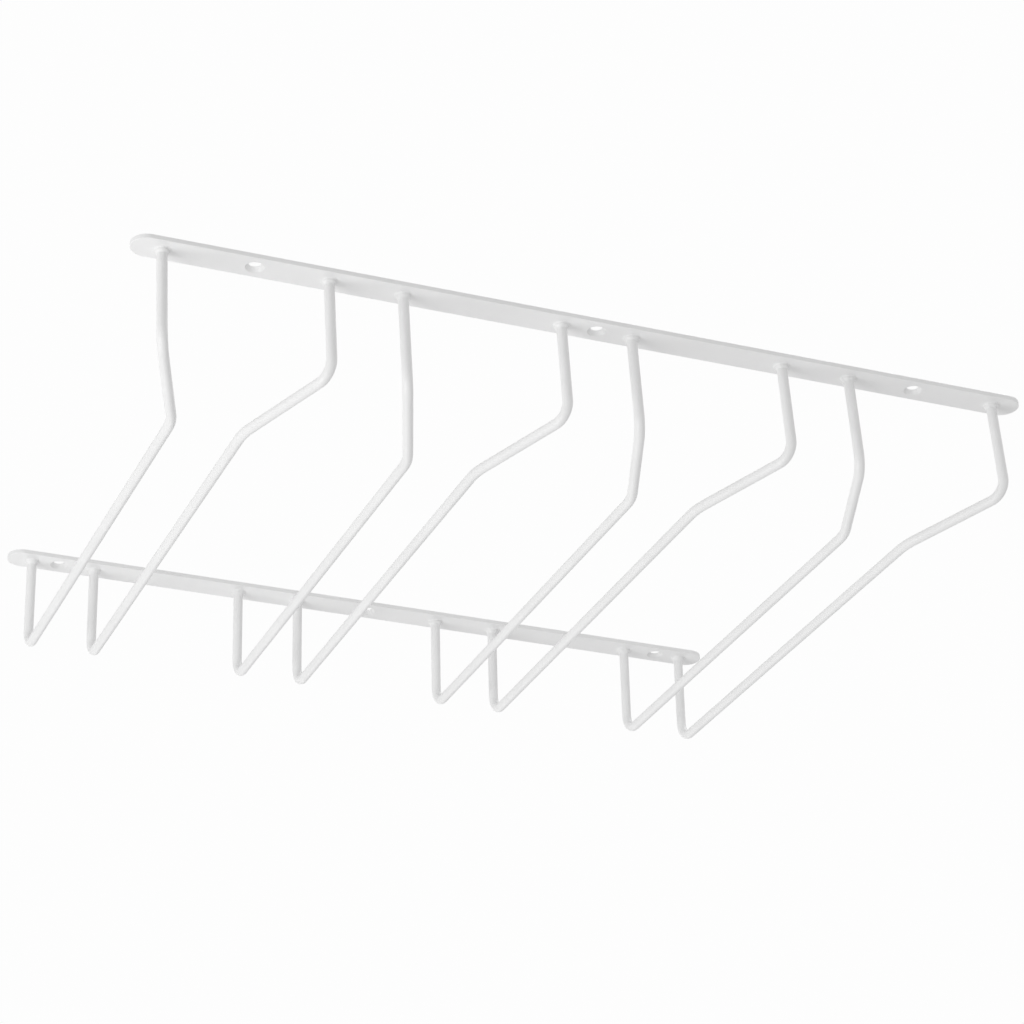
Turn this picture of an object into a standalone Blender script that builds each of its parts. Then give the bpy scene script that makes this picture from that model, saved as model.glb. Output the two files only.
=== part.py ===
"""Hanging wine glass rack: two flat rails and eight bent wires, butt welded and powder coated.

Metres, +Z up. The origin lies in the mounting plane, on the rack's middle line and midway between the
rails. The rails run along X and hang below the plane z = 0. The wide mouths of the slots face -Y.
"""

import math

import bmesh
import bpy
from mathutils import Quaternion, Vector

# Slots, measured between the centrelines of their two wires
SLOT_COUNT = 4
MOUTH_WIDTH = 0.079
MOUTH_GAP = 0.036
SLOT_WIDTH = 0.034
FUNNEL_DEPTH = 0.056

# Rails, which are flat strips with round ends
RAIL_SPACING = 0.3215
RAIL_WIDTH = 0.0163
RAIL_THICKNESS = 0.0023
RAIL_EDGE_RADIUS = 0.0004
FRONT_OVERHANG = 0.0147
REAR_OVERHANG = 0.0132

# Screw holes, one in the middle of each rail and one near the middle of each outer slot
SCREW_HOLE_DIAMETER = 0.0056
COUNTERSINK_RIM = 0.0017
HOLE_LAND = 0.0005
FRONT_SCREW_SHIFT = -0.004
REAR_SCREW_SHIFT = 0.0025
CUT_OVERRUN = 0.001

# Wires, with each drop measured from the mounting plane to the wire's centreline
WIRE_DIAMETER = 0.005
MOUTH_DROP = 0.054
MOUTH_LEAN = 0.005
SLOT_DROP = 0.0565
REAR_DROP = 0.0535
FRONT_BEND_RADIUS = 0.0085
FUNNEL_BEND_RADIUS = 0.035
REAR_BEND_RADIUS = 0.011

# Weld beads, each a collar round the end of a wire
WELD_GAP = 0.0003
WELD_SPREAD = 0.0018
WELD_HEIGHT = 0.0028
WELD_RIM = 0.0003
WELD_LIP = 0.0002

# Smoothness of the round shapes
WIRE_RESOLUTION = 6
BEND_STEPS = 8
RAIL_END_STEPS = 16
RAIL_EDGE_STEPS = 2
RAIL_BEVEL_ANGLE = math.radians(40)
HOLE_SIDES = 28
WELD_SIDES = 16
WELD_STEPS = 5
SHARP_ANGLE = math.radians(35)
MERGE_DISTANCE = 0.000001

# Powder coat
COAT_COLOUR = (0.86, 0.86, 0.86, 1.0)
COAT_ROUGHNESS = 0.45

# Places worked out from the sizes above
SLOT_PITCH = MOUTH_WIDTH + MOUTH_GAP
OUTER_SLOT_X = SLOT_PITCH * (SLOT_COUNT - 1) / 2
FRONT_Y = -RAIL_SPACING / 2
REAR_Y = RAIL_SPACING / 2
RAIL_UNDERSIDE = -RAIL_THICKNESS
WIRE_RADIUS = WIRE_DIAMETER / 2
FRONT_RAIL_LENGTH = 2 * (OUTER_SLOT_X + MOUTH_WIDTH / 2 + FRONT_OVERHANG)
REAR_RAIL_LENGTH = 2 * (OUTER_SLOT_X + SLOT_WIDTH / 2 + REAR_OVERHANG)
FRONT_LEG = Vector((0, -MOUTH_LEAN, RAIL_THICKNESS - MOUTH_DROP))
REAR_LEG = Vector((0, 0, RAIL_THICKNESS - REAR_DROP))
SIDES = {"left": -1, "right": 1}


def clear_scene():
    """Remove the objects that the scene holds."""
    for item in list(bpy.data.objects):
        bpy.data.objects.remove(item, do_unlink=True)


def coat_material(name):
    """White satin powder coat for one kind of piece."""
    material = bpy.data.materials.new(name)
    material.use_nodes = True
    shader = material.node_tree.nodes["Principled BSDF"]
    shader.inputs["Base Color"].default_value = COAT_COLOUR
    shader.inputs["Roughness"].default_value = COAT_ROUGHNESS
    shader.inputs["Metallic"].default_value = 0
    material.diffuse_color = COAT_COLOUR
    return material


def place(name, data, parent, location):
    """Put an object that holds the data into the scene, at a place given from its parent."""
    item = bpy.data.objects.new(name, data)
    bpy.context.scene.collection.objects.link(item)
    item.parent = parent
    item.location = location
    return item


def finish_mesh(mesh, bm, material):
    """Write the edited shape to the mesh, with smooth faces and sharp edges."""
    bmesh.ops.recalc_face_normals(bm, faces=bm.faces)
    bm.to_mesh(mesh)
    bm.free()
    mesh.shade_smooth()
    mesh.set_sharp_from_angle(angle=SHARP_ANGLE)
    mesh.materials.append(material)
    return mesh


def turned_mesh(name, profile, closed, sides, material):
    """Turn a profile of (radius, height) points about the Z axis."""
    bm = bmesh.new()
    verts = [bm.verts.new((radius, 0, height)) for radius, height in profile]
    followers = verts[1:] + verts[:1] if closed else verts[1:]
    edges = [bm.edges.new(pair) for pair in zip(verts, followers)]
    bmesh.ops.spin(bm, geom=verts + edges, cent=(0, 0, 0), axis=(0, 0, 1), angle=math.tau,
                   steps=sides, use_merge=True)
    bmesh.ops.remove_doubles(bm, verts=bm.verts, dist=MERGE_DISTANCE)
    return finish_mesh(bpy.data.meshes.new(name), bm, material)


def rail_outline(length):
    """Corner points of a strip with full round ends, from above."""
    radius = RAIL_WIDTH / 2
    points = []
    for end in (1, -1):
        middle = Vector((end * (length / 2 - radius), 0, 0))
        for step in range(RAIL_END_STEPS + 1):
            angle = math.pi * (step / RAIL_END_STEPS - 1 / 2)
            spoke = Vector((math.cos(angle), math.sin(angle), 0)) * radius
            points.append(middle + spoke * end)
    return points


def rail_mesh(name, length, material):
    """A flat strip, with its top in the plane z = 0."""
    bm = bmesh.new()
    top = bm.faces.new([bm.verts.new(point) for point in rail_outline(length)])
    strip = bmesh.ops.extrude_face_region(bm, geom=[top])["geom"]
    lower = [item for item in strip if isinstance(item, bmesh.types.BMVert)]
    bmesh.ops.translate(bm, verts=lower, vec=(0, 0, RAIL_UNDERSIDE))
    return finish_mesh(bpy.data.meshes.new(name), bm, material)


def hole_cutter_mesh(material):
    """A screw's clearance hole, countersunk from below."""
    hole_radius = SCREW_HOLE_DIAMETER / 2
    cone_height = RAIL_THICKNESS - HOLE_LAND
    spread = COUNTERSINK_RIM * (cone_height + CUT_OVERRUN) / cone_height
    bottom = RAIL_UNDERSIDE - CUT_OVERRUN
    profile = [(0, bottom), (hole_radius + spread, bottom), (hole_radius, -HOLE_LAND),
               (hole_radius, CUT_OVERRUN), (0, CUT_OVERRUN)]
    return turned_mesh("screw_hole", profile, False, HOLE_SIDES, material)


def add_rail(name, length, y, screw_shift, cutter_mesh, material, rack):
    """One rail with softened edges and its three screw holes."""
    rail = place(name, rail_mesh(name, length, material), rack, (0, y, 0))
    edges = rail.modifiers.new("edges", "BEVEL")
    edges.width = RAIL_EDGE_RADIUS
    edges.segments = RAIL_EDGE_STEPS
    edges.limit_method = "ANGLE"
    edges.angle_limit = RAIL_BEVEL_ANGLE
    for step in (-1, 0, 1):
        x = step * (OUTER_SLOT_X + screw_shift)
        cutter = place(f"{name}_hole_{step + 2}", cutter_mesh, rail, (x, 0, 0))
        cutter.hide_render = True
        cutter.display_type = "WIRE"
        cut = rail.modifiers.new(cutter.name, "BOOLEAN")
        cut.operation = "DIFFERENCE"
        cut.solver = "EXACT"
        cut.object = cutter
    return rail


def leg_top(leg):
    """How far below the rail a leg's centreline starts, so that its leaning end clears the rail."""
    lean = leg.angle(Vector((0, 0, -1)))
    return WELD_GAP + WIRE_RADIUS * math.sin(lean)


def wire_corners(side):
    """Corners of one wire's centreline, from its front end to its rear end, about the slot's middle."""
    mouth_x = side * MOUTH_WIDTH / 2
    slot_x = side * SLOT_WIDTH / 2
    front_weld = Vector((mouth_x, FRONT_Y, RAIL_UNDERSIDE))
    rear_weld = Vector((slot_x, REAR_Y, RAIL_UNDERSIDE))
    return [
        front_weld + FRONT_LEG.normalized() * leg_top(FRONT_LEG),
        front_weld + FRONT_LEG,
        Vector((slot_x, FRONT_Y + FUNNEL_DEPTH, -SLOT_DROP)),
        rear_weld + REAR_LEG,
        rear_weld + REAR_LEG.normalized() * leg_top(REAR_LEG),
    ]


def bend_points(before, corner, after, radius):
    """Points along the arc that rounds one corner of a path."""
    inwards = (before - corner).normalized()
    onwards = (after - corner).normalized()
    half_angle = inwards.angle(onwards) / 2
    reach = radius / math.tan(half_angle)
    centre = corner + (inwards + onwards).normalized() * radius / math.sin(half_angle)
    start = corner + inwards * reach - centre
    end = corner + onwards * reach - centre
    turn = start.angle(end) / BEND_STEPS
    axis = start.cross(end)
    return [centre + Quaternion(axis, turn * step) @ start for step in range(BEND_STEPS + 1)]


def wire_path(side):
    """The centreline of one wire, with its three bends rounded."""
    corners = wire_corners(side)
    radii = (FRONT_BEND_RADIUS, FUNNEL_BEND_RADIUS, REAR_BEND_RADIUS)
    path = [corners[0]]
    for before, corner, after, radius in zip(corners, corners[1:], corners[2:], radii):
        path += bend_points(before, corner, after, radius)
    return path + [corners[-1]]


def wire_curve(name, side, material):
    """A round wire along its path, with flat ends."""
    curve = bpy.data.curves.new(name, "CURVE")
    curve.dimensions = "3D"
    curve.bevel_depth = WIRE_RADIUS
    curve.bevel_resolution = WIRE_RESOLUTION
    curve.use_fill_caps = True
    path = wire_path(side)
    spline = curve.splines.new("POLY")
    spline.points.add(len(path) - 1)
    for point, spot in zip(spline.points, path):
        point.co = (*spot, 1)
    curve.materials.append(material)
    return curve


def weld_mesh(name, leg, material):
    """A bell-shaped collar that follows the leg's lean, with the rail's underside at z = 0."""
    bore_radius = WIRE_RADIUS + WELD_GAP
    foot_radius = bore_radius + WELD_LIP
    bell_height = WELD_HEIGHT - WELD_RIM
    profile = [(bore_radius, -WELD_GAP - WELD_HEIGHT), (bore_radius, -WELD_GAP),
               (foot_radius + WELD_SPREAD, -WELD_GAP)]
    for step in range(WELD_STEPS + 1):
        share = step / WELD_STEPS
        radius = foot_radius + WELD_SPREAD * (1 + math.cos(math.pi * share)) / 2
        height = -WELD_GAP - WELD_RIM - bell_height * share
        profile.append((radius, height))
    mesh = turned_mesh(name, profile, True, WELD_SIDES, material)
    for vert in mesh.vertices:
        vert.co.y += leg.y / leg.z * vert.co.z
    return mesh


def build_rack():
    """Lay out the rails, the wires and the welds under one empty."""
    clear_scene()
    rack = place("rack", None, None, (0, 0, 0))
    rail_coat = coat_material("rail_coat")
    wire_coat = coat_material("wire_coat")
    weld_coat = coat_material("weld_coat")

    cutter_mesh = hole_cutter_mesh(rail_coat)
    add_rail("front_rail", FRONT_RAIL_LENGTH, FRONT_Y, FRONT_SCREW_SHIFT, cutter_mesh, rail_coat, rack)
    add_rail("rear_rail", REAR_RAIL_LENGTH, REAR_Y, REAR_SCREW_SHIFT, cutter_mesh, rail_coat, rack)

    front_weld = weld_mesh("front_weld", FRONT_LEG, weld_coat)
    rear_weld = weld_mesh("rear_weld", REAR_LEG, weld_coat)
    for side_name, side in SIDES.items():
        curve = wire_curve(f"{side_name}_wire", side, wire_coat)
        for slot in range(SLOT_COUNT):
            slot_x = slot * SLOT_PITCH - OUTER_SLOT_X
            label = f"{slot + 1}_{side_name}"
            wire = place(f"wire_{label}", curve, rack, (slot_x, 0, 0))
            front_end = (side * MOUTH_WIDTH / 2, FRONT_Y, RAIL_UNDERSIDE)
            rear_end = (side * SLOT_WIDTH / 2, REAR_Y, RAIL_UNDERSIDE)
            place(f"weld_front_{label}", front_weld, wire, front_end)
            place(f"weld_rear_{label}", rear_weld, wire, rear_end)


build_rack()
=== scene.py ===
"""Looks for the hanging wine glass rack: smooth powder-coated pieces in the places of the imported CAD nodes.

Metres, in the frame of the CAD model: +Z up into the shelf, +X along the rails, -Y out through the mouths.
"""

import math

import bmesh
import bpy
from mathutils import Euler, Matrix, Quaternion, Vector, noise


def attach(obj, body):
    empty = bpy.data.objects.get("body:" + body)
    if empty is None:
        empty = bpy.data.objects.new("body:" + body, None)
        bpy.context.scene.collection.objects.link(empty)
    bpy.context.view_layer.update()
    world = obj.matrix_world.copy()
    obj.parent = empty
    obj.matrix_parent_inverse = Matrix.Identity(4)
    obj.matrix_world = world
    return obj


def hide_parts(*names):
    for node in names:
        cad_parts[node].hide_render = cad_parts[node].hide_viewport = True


# Slots, measured between the centrelines of their two wires
SLOT_COUNT = 4
MOUTH_WIDTH = 0.079
MOUTH_GAP = 0.036
SLOT_WIDTH = 0.034
FUNNEL_DEPTH = 0.056

# Rails
RAIL_SPACING = 0.3215
RAIL_WIDTH = 0.0163
RAIL_THICKNESS = 0.0023
RAIL_EDGE_RADIUS = 0.00035
FRONT_OVERHANG = 0.0147
REAR_OVERHANG = 0.0132

# Screw holes, countersunk from below
HOLE_RADIUS = 0.0028
COUNTERSINK_RADIUS = 0.0045
HOLE_LAND = 0.0005
FRONT_SCREW_SHIFT = -0.004
REAR_SCREW_SHIFT = 0.0025
HOLE_EDGE_RADII = (0.0004, 0.0003, 0.00015)

# Wires, with each drop measured from the mounting plane to the wire's centreline
WIRE_RADIUS = 0.0025
MOUTH_DROP = 0.054
MOUTH_LEAN = 0.005
SLOT_DROP = 0.0565
REAR_DROP = 0.0535
BEND_RADII = (0.0085, 0.035, 0.011)
WIRE_SINK = 0.0006

# Welds, each a bead between the rail's underside and the wire
WELD_SPREAD = 0.0009
WELD_HEIGHT = 0.0028
WELD_FLARE = 0.0009
WELD_SINK = 0.0003
WELD_UNEVENNESS = 0.2
WELD_LUMPS = 1.3

# Smoothness of the round shapes
WIRE_RESOLUTION = 14
BEND_STEPS = 20
RAIL_END_STEPS = 40
RAIL_EDGE_STEPS = 5
HOLE_SIDES = 64
HOLE_EDGE_STEPS = 4
WELD_SIDES = 48
WELD_STEPS = 12
FLARE_STEPS = 4
SHARP_ANGLE = math.radians(40)
FILL_SCALE = 1000

# Powder coat: each noise has a scale and a detail, and each bump a depth
COAT_TONES = ((0.847, 0.847, 0.847, 1), (0.873, 0.873, 0.873, 1))
TONE_NOISE = (35, 3)
TONE_NOISE_RANGE = (0.35, 0.65)
GLOSS_NOISE = (180, 2)
GLOSS_NOISE_RANGE = (0.3, 0.7)
ROUGHNESS_RANGE = (0.4, 0.5)
WAVE_NOISE = (260, 1)
WAVE_DEPTH = 0.0001
PEEL_NOISE = (1100, 1)
PEEL_DEPTH = 0.00004
PEEL_STRENGTH = 0.18
WAVE_STRENGTH = 0.12
WELD_WAVE_STRENGTH = 0.35

# Camera of the photograph
CAMERA_PLACE = (-0.53343, -1.32731, -0.76277)
CAMERA_TURN_DEGREES = (117.45856, 1.40035, -21.96338)
CAMERA_LENS = 111.12
CAMERA_SENSOR = 36
CAMERA_NEAR = 0.05
CAMERA_FAR = 100

# Soft boxes: bearing from the front towards the left and elevation in degrees, then size and power in watts
SOFT_BOXES = {
    "key": (73, -36, 0.9, 10.3),
    "back_fill": (180, -30, 0.8, 2.3),
    "right_fill": (300, 10, 0.8, 1.75),
    "left_fill": (60, 25, 0.8, 1),
    "top_light": (250, 55, 0.8, 5.5),
}
SOFT_BOX_REACH = 1.6
LIT_SPOT = Vector((0, 0, -0.03))

# Backdrop and floor, with the white share that is mixed into the floor where it is seen directly
AMBIENT_COLOUR = (1, 1, 1, 1)
AMBIENT_STRENGTH = 0.6
BACKDROP_COLOUR = (0.984, 0.984, 0.984, 1)
FLOOR_COLOUR = (0.9, 0.9, 0.9, 1)
FLOOR_ROUGHNESS = 0.9
FLOOR_SIZE = 30
FLOOR_HEIGHT = -2.2
FLOOR_CELLS = 8
FLOOR_WHITE_SHARE = 0.75

# Places worked out from the sizes above
SLOT_PITCH = MOUTH_WIDTH + MOUTH_GAP
OUTER_SLOT_X = SLOT_PITCH * (SLOT_COUNT - 1) / 2
FRONT_Y = -RAIL_SPACING / 2
REAR_Y = RAIL_SPACING / 2
RAIL_UNDERSIDE = -RAIL_THICKNESS
FRONT_RAIL_LENGTH = 2 * (OUTER_SLOT_X + MOUTH_WIDTH / 2 + FRONT_OVERHANG)
REAR_RAIL_LENGTH = 2 * (OUTER_SLOT_X + SLOT_WIDTH / 2 + REAR_OVERHANG)
FRONT_LEG = Vector((0, -MOUTH_LEAN, RAIL_THICKNESS - MOUTH_DROP))
REAR_LEG = Vector((0, 0, RAIL_THICKNESS - REAR_DROP))
SIDES = {"left": -1, "right": 1}


def add_object(name, data):
    """Put an object that holds the data into the scene."""
    item = bpy.data.objects.new(name, data)
    bpy.context.scene.collection.objects.link(item)
    return item


def add_piece(name, data, node):
    """A piece of the rack that stands for one CAD node."""
    piece = add_object(name, data)
    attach(piece, "root")
    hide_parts(node)
    return piece


def finish_mesh(name, bm, material):
    """A smooth mesh from the edited shape."""
    bmesh.ops.recalc_face_normals(bm, faces=bm.faces)
    mesh = bpy.data.meshes.new(name)
    bm.to_mesh(mesh)
    bm.free()
    mesh.shade_smooth()
    mesh.set_sharp_from_angle(angle=SHARP_ANGLE)
    mesh.materials.append(material)
    return mesh


def bend_points(before, corner, after, radius, steps):
    """Points along the arc that rounds one corner of a path."""
    inwards = (before - corner).normalized()
    onwards = (after - corner).normalized()
    half_angle = inwards.angle(onwards) / 2
    reach = radius / math.tan(half_angle)
    centre = corner + (inwards + onwards).normalized() * radius / math.sin(half_angle)
    start = corner + inwards * reach - centre
    end = corner + onwards * reach - centre
    turn = start.angle(end) / steps
    axis = start.cross(end)
    return [centre + Quaternion(axis, turn * step) @ start for step in range(steps + 1)]


def rounded_path(corners, radii, steps):
    """A path through the corners, with its inner corners rounded."""
    path = [corners[0]]
    for before, corner, after, radius in zip(corners, corners[1:], corners[2:], radii):
        path += bend_points(before, corner, after, radius, steps)
    return path + [corners[-1]]


def join_rings(bm, rings):
    """Skin a row of closed rings of vertices."""
    for lower, upper in zip(rings, rings[1:]):
        for corners in zip(lower, lower[1:] + lower[:1], upper[1:] + upper[:1], upper):
            bm.faces.new(corners)


def ring_edges(bm, ring):
    """The edges round a closed ring of vertices."""
    return [bm.edges.get(pair) for pair in zip(ring, ring[1:] + ring[:1])]


def strip_ring(bm, length, y, inset, height):
    """One ring round a strip with full round ends, drawn in by the inset."""
    radius = RAIL_WIDTH / 2 - inset
    ring = []
    for end in (1, -1):
        middle = Vector((end * (length - RAIL_WIDTH) / 2, y, height))
        for step in range(RAIL_END_STEPS + 1):
            angle = math.pi * (step / RAIL_END_STEPS - 1 / 2)
            spoke = Vector((math.cos(angle), math.sin(angle), 0)) * radius * end
            ring.append(bm.verts.new(middle + spoke))
    return ring


def strip_rings(bm, length, y):
    """The strip's softened side, from its flat underside to its flat top."""
    rings = []
    for edge, towards in ((RAIL_UNDERSIDE, 1), (0, -1)):
        curve = []
        for step in range(RAIL_EDGE_STEPS + 1):
            angle = math.pi / 2 * step / RAIL_EDGE_STEPS
            inset = RAIL_EDGE_RADIUS * (1 - math.sin(angle))
            height = edge + towards * RAIL_EDGE_RADIUS * (1 - math.cos(angle))
            curve.append(strip_ring(bm, length, y, inset, height))
        rings += curve if towards > 0 else curve[::-1]
    join_rings(bm, rings)
    return rings[0], rings[-1]


def hole_rings(bm, x, y):
    """A countersunk hole's wall, from its rim on the underside to its rim on the top."""
    far = COUNTERSINK_RADIUS + HOLE_EDGE_RADII[0]
    near = HOLE_RADIUS + HOLE_EDGE_RADII[-1]
    corners = [
        Vector((far, 0, RAIL_UNDERSIDE)),
        Vector((COUNTERSINK_RADIUS, 0, RAIL_UNDERSIDE)),
        Vector((HOLE_RADIUS, 0, -HOLE_LAND)),
        Vector((HOLE_RADIUS, 0, 0)),
        Vector((near, 0, 0)),
    ]
    rings = []
    for point in rounded_path(corners, HOLE_EDGE_RADII, HOLE_EDGE_STEPS)[1:-1]:
        ring = []
        for step in range(HOLE_SIDES):
            angle = math.tau * step / HOLE_SIDES
            spoke = Vector((math.cos(angle), math.sin(angle), 0)) * point.x
            ring.append(bm.verts.new(Vector((x, y, point.z)) + spoke))
        rings.append(ring)
    join_rings(bm, rings)
    return rings[0], rings[-1]


def fill_flat(bm, edges):
    """Fill a flat face with holes, enlarged meanwhile because the fill merges points that lie close."""
    bmesh.ops.scale(bm, verts=bm.verts, vec=Vector((FILL_SCALE, FILL_SCALE, FILL_SCALE)))
    bmesh.ops.triangle_fill(bm, use_beauty=True, edges=edges)
    bmesh.ops.scale(bm, verts=bm.verts, vec=Vector((1, 1, 1)) / FILL_SCALE)


def add_rail(name, length, y, screw_shift, material, node):
    """A flat strip with round ends, soft edges and three countersunk screw holes."""
    bm = bmesh.new()
    below, above = strip_rings(bm, length, y)
    lower_edges = ring_edges(bm, below)
    upper_edges = ring_edges(bm, above)
    for step in (-1, 0, 1):
        below, above = hole_rings(bm, step * (OUTER_SLOT_X + screw_shift), y)
        lower_edges += ring_edges(bm, below)
        upper_edges += ring_edges(bm, above)
    fill_flat(bm, lower_edges)
    fill_flat(bm, upper_edges)
    rail = add_piece(name, finish_mesh(name, bm, material), node)
    rail.modifiers.new("flat_faces", "WEIGHTED_NORMAL")
    return rail


def wire_path(side, slot_x):
    """The centreline of one wire, from inside the front rail to inside the rear rail."""
    mouth_x = slot_x + side * MOUTH_WIDTH / 2
    run_x = slot_x + side * SLOT_WIDTH / 2
    front_weld = Vector((mouth_x, FRONT_Y, RAIL_UNDERSIDE))
    rear_weld = Vector((run_x, REAR_Y, RAIL_UNDERSIDE))
    corners = [
        front_weld - FRONT_LEG.normalized() * WIRE_SINK,
        front_weld + FRONT_LEG,
        Vector((run_x, FRONT_Y + FUNNEL_DEPTH, -SLOT_DROP)),
        rear_weld + REAR_LEG,
        rear_weld - REAR_LEG.normalized() * WIRE_SINK,
    ]
    return rounded_path(corners, BEND_RADII, BEND_STEPS)


def add_wire(name, side, slot_x, material, node):
    """A round wire with three bends."""
    curve = bpy.data.curves.new(name, "CURVE")
    curve.dimensions = "3D"
    curve.bevel_depth = WIRE_RADIUS
    curve.bevel_resolution = WIRE_RESOLUTION
    curve.use_fill_caps = True
    path = wire_path(side, slot_x)
    spline = curve.splines.new("POLY")
    spline.points.add(len(path) - 1)
    for point, spot in zip(spline.points, path):
        point.co = (*spot, 1)
    curve.materials.append(material)
    return add_piece(name, curve, node)


def weld_profile(spread, height):
    """A bead's outline as (radius, rise) points: a flare on the rail, then a low bell down to the wire."""
    shoulder = WIRE_RADIUS + spread
    profile = [(shoulder + WELD_FLARE, WELD_SINK)]
    for step in range(FLARE_STEPS):
        angle = math.pi / 2 * step / FLARE_STEPS
        radius = shoulder + WELD_FLARE * (1 - math.sin(angle))
        profile.append((radius, WELD_FLARE * (math.cos(angle) - 1)))
    for step in range(WELD_STEPS + 1):
        share = step / WELD_STEPS
        radius = WIRE_RADIUS + spread * (1 + math.cos(math.pi * share)) / 2
        profile.append((radius, -WELD_FLARE - (height - WELD_FLARE) * share))
    inside = WIRE_RADIUS - WELD_SINK
    return profile + [(inside, -height), (inside, WELD_SINK)]


def add_weld(name, spot, leg, material, node):
    """A slightly uneven bead between the rail and the wire."""
    bm = bmesh.new()
    rings = [[] for point in weld_profile(WELD_SPREAD, WELD_HEIGHT)]
    for turn in range(WELD_SIDES):
        bearing = math.tau * turn / WELD_SIDES
        spoke = Vector((math.cos(bearing), math.sin(bearing), 0))
        growth = 1 + WELD_UNEVENNESS * noise.noise(spoke * WELD_LUMPS + spot / WIRE_RADIUS)
        for ring, (radius, rise) in zip(rings, weld_profile(WELD_SPREAD * growth, WELD_HEIGHT * growth)):
            lean = Vector((0, leg.y / leg.z * rise, rise))
            ring.append(bm.verts.new(spot + spoke * radius + lean))
    join_rings(bm, rings + rings[:1])
    return add_piece(name, finish_mesh(name, bm, material), node)


def coat_material(name, wave_strength):
    """Satin white powder coat, with fine orange peel and slight changes of tone and gloss."""
    material = bpy.data.materials.new(name)
    material.use_nodes = True
    tree = material.node_tree
    shader = tree.nodes["Principled BSDF"]
    place = tree.nodes.new("ShaderNodeTexCoord").outputs["Object"]

    def noise_at(scale, detail):
        texture = tree.nodes.new("ShaderNodeTexNoise")
        texture.inputs["Scale"].default_value = scale
        texture.inputs["Detail"].default_value = detail
        tree.links.new(place, texture.inputs["Vector"])
        return texture.outputs["Fac"]

    def bump(strength, depth, height):
        relief = tree.nodes.new("ShaderNodeBump")
        relief.inputs["Strength"].default_value = strength
        relief.inputs["Distance"].default_value = depth
        tree.links.new(height, relief.inputs["Height"])
        return relief

    tone = tree.nodes.new("ShaderNodeValToRGB")
    for stop, position, colour in zip(tone.color_ramp.elements, TONE_NOISE_RANGE, COAT_TONES):
        stop.position = position
        stop.color = colour
    tree.links.new(noise_at(*TONE_NOISE), tone.inputs["Fac"])
    tree.links.new(tone.outputs["Color"], shader.inputs["Base Color"])

    gloss = tree.nodes.new("ShaderNodeMapRange")
    gloss.inputs["From Min"].default_value, gloss.inputs["From Max"].default_value = GLOSS_NOISE_RANGE
    gloss.inputs["To Min"].default_value, gloss.inputs["To Max"].default_value = ROUGHNESS_RANGE
    tree.links.new(noise_at(*GLOSS_NOISE), gloss.inputs["Value"])
    tree.links.new(gloss.outputs["Result"], shader.inputs["Roughness"])

    waves = bump(wave_strength, WAVE_DEPTH, noise_at(*WAVE_NOISE))
    peel = bump(PEEL_STRENGTH, PEEL_DEPTH, noise_at(*PEEL_NOISE))
    tree.links.new(waves.outputs["Normal"], peel.inputs["Normal"])
    tree.links.new(peel.outputs["Normal"], shader.inputs["Normal"])
    return material


def build_rack():
    """Put every rail, wire and weld in place."""
    strip_coat = coat_material("strip_coat", WAVE_STRENGTH)
    wire_coat = coat_material("wire_coat", WAVE_STRENGTH)
    weld_coat = coat_material("weld_coat", WELD_WAVE_STRENGTH)

    add_rail("front_strip", FRONT_RAIL_LENGTH, FRONT_Y, FRONT_SCREW_SHIFT, strip_coat, "front_rail")
    add_rail("rear_strip", REAR_RAIL_LENGTH, REAR_Y, REAR_SCREW_SHIFT, strip_coat, "rear_rail")
    for slot in range(SLOT_COUNT):
        slot_x = slot * SLOT_PITCH - OUTER_SLOT_X
        for side_name, side in SIDES.items():
            label = f"{slot + 1}_{side_name}"
            front_spot = Vector((slot_x + side * MOUTH_WIDTH / 2, FRONT_Y, RAIL_UNDERSIDE))
            rear_spot = Vector((slot_x + side * SLOT_WIDTH / 2, REAR_Y, RAIL_UNDERSIDE))
            add_wire(f"bent_wire_{label}", side, slot_x, wire_coat, f"wire_{label}")
            add_weld(f"front_bead_{label}", front_spot, FRONT_LEG, weld_coat, f"weld_front_{label}")
            add_weld(f"rear_bead_{label}", rear_spot, REAR_LEG, weld_coat, f"weld_rear_{label}")


def add_camera():
    """The camera at the photograph's place, which looks up at the rack from below."""
    lens = bpy.data.cameras.new("camera")
    lens.lens = CAMERA_LENS
    lens.sensor_width = CAMERA_SENSOR
    lens.clip_start = CAMERA_NEAR
    lens.clip_end = CAMERA_FAR
    camera = add_object("camera", lens)
    camera.location = CAMERA_PLACE
    camera.rotation_euler = Euler([math.radians(turn) for turn in CAMERA_TURN_DEGREES])
    bpy.context.scene.camera = camera


def seen_directly(tree):
    """A socket that is one where a camera, glossy or transmitted ray arrives."""
    path = tree.nodes.new("ShaderNodeLightPath")
    total = path.outputs["Is Camera Ray"]
    for kind in ("Is Glossy Ray", "Is Transmission Ray"):
        either = tree.nodes.new("ShaderNodeMath")
        either.operation = "MAXIMUM"
        tree.links.new(total, either.inputs[0])
        tree.links.new(path.outputs[kind], either.inputs[1])
        total = either.outputs["Value"]
    return total


def add_world():
    """A white backdrop that lights the rack from all round with a soft grey."""
    world = bpy.data.worlds.new("studio")
    world.use_nodes = True
    tree = world.node_tree
    ambient = tree.nodes["Background"]
    ambient.inputs["Color"].default_value = AMBIENT_COLOUR
    ambient.inputs["Strength"].default_value = AMBIENT_STRENGTH
    backdrop = tree.nodes.new("ShaderNodeBackground")
    backdrop.inputs["Color"].default_value = BACKDROP_COLOUR
    backdrop.inputs["Strength"].default_value = 1
    mix = tree.nodes.new("ShaderNodeMixShader")
    tree.links.new(seen_directly(tree), mix.inputs["Fac"])
    tree.links.new(ambient.outputs["Background"], mix.inputs[1])
    tree.links.new(backdrop.outputs["Background"], mix.inputs[2])
    tree.links.new(mix.outputs["Shader"], tree.nodes["World Output"].inputs["Surface"])
    bpy.context.scene.world = world


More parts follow.
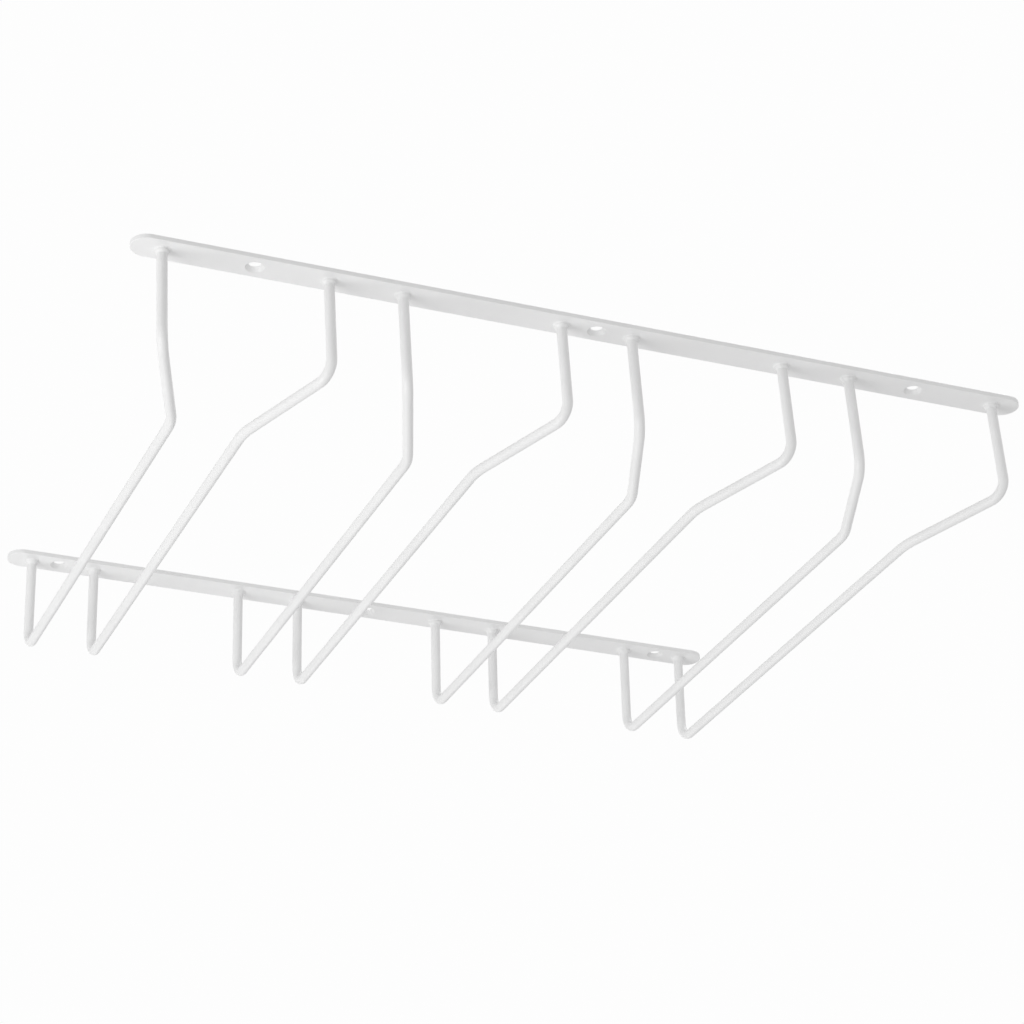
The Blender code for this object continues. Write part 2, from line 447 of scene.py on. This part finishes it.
def add_floor():
    """A wide pale floor, far enough down to leave room for a look from below."""
    bm = bmesh.new()
    bmesh.ops.create_grid(bm, x_segments=FLOOR_CELLS, y_segments=FLOOR_CELLS, size=FLOOR_SIZE)
    bmesh.ops.translate(bm, verts=bm.verts, vec=(0, 0, FLOOR_HEIGHT))
    material = bpy.data.materials.new("floor_paint")
    material.use_nodes = True
    tree = material.node_tree
    paint = tree.nodes["Principled BSDF"]
    paint.inputs["Base Color"].default_value = FLOOR_COLOUR
    paint.inputs["Roughness"].default_value = FLOOR_ROUGHNESS
    white = tree.nodes.new("ShaderNodeEmission")
    white.inputs["Color"].default_value = BACKDROP_COLOUR
    white.inputs["Strength"].default_value = 1
    share = tree.nodes.new("ShaderNodeMath")
    share.operation = "MULTIPLY"
    share.inputs[1].default_value = FLOOR_WHITE_SHARE
    mix = tree.nodes.new("ShaderNodeMixShader")
    tree.links.new(seen_directly(tree), share.inputs[0])
    tree.links.new(share.outputs["Value"], mix.inputs["Fac"])
    tree.links.new(paint.outputs["BSDF"], mix.inputs[1])
    tree.links.new(white.outputs["Emission"], mix.inputs[2])
    tree.links.new(mix.outputs["Shader"], tree.nodes["Material Output"].inputs["Surface"])
    floor = add_object("floor", finish_mesh("floor", bm, material))


def add_soft_box(name, bearing, elevation, size, power):
    """A square soft box that faces the rack."""
    light = bpy.data.lights.new(name, "AREA")
    light.size = size
    light.energy = power
    bearing = math.radians(bearing)
    elevation = math.radians(elevation)
    level = Vector((-math.sin(bearing), -math.cos(bearing), 0)) * math.cos(elevation)
    away = level + Vector((0, 0, math.sin(elevation)))
    lamp = add_object(name, light)
    lamp.location = LIT_SPOT + away * SOFT_BOX_REACH
    lamp.rotation_euler = away.to_track_quat("Z", "Y").to_euler()
    lamp.visible_camera = False


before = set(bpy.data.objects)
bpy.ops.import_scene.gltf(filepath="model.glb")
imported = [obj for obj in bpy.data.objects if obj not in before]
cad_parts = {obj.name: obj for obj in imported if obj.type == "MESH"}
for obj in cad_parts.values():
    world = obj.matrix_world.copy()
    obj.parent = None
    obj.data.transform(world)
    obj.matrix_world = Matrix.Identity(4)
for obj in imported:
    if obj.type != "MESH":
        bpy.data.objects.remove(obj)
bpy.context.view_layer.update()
build_rack()
add_camera()
add_world()
add_floor()
for box_name, settings in SOFT_BOXES.items():
    add_soft_box(box_name, *settings)
bpy.context.scene.view_settings.view_transform = "Standard"
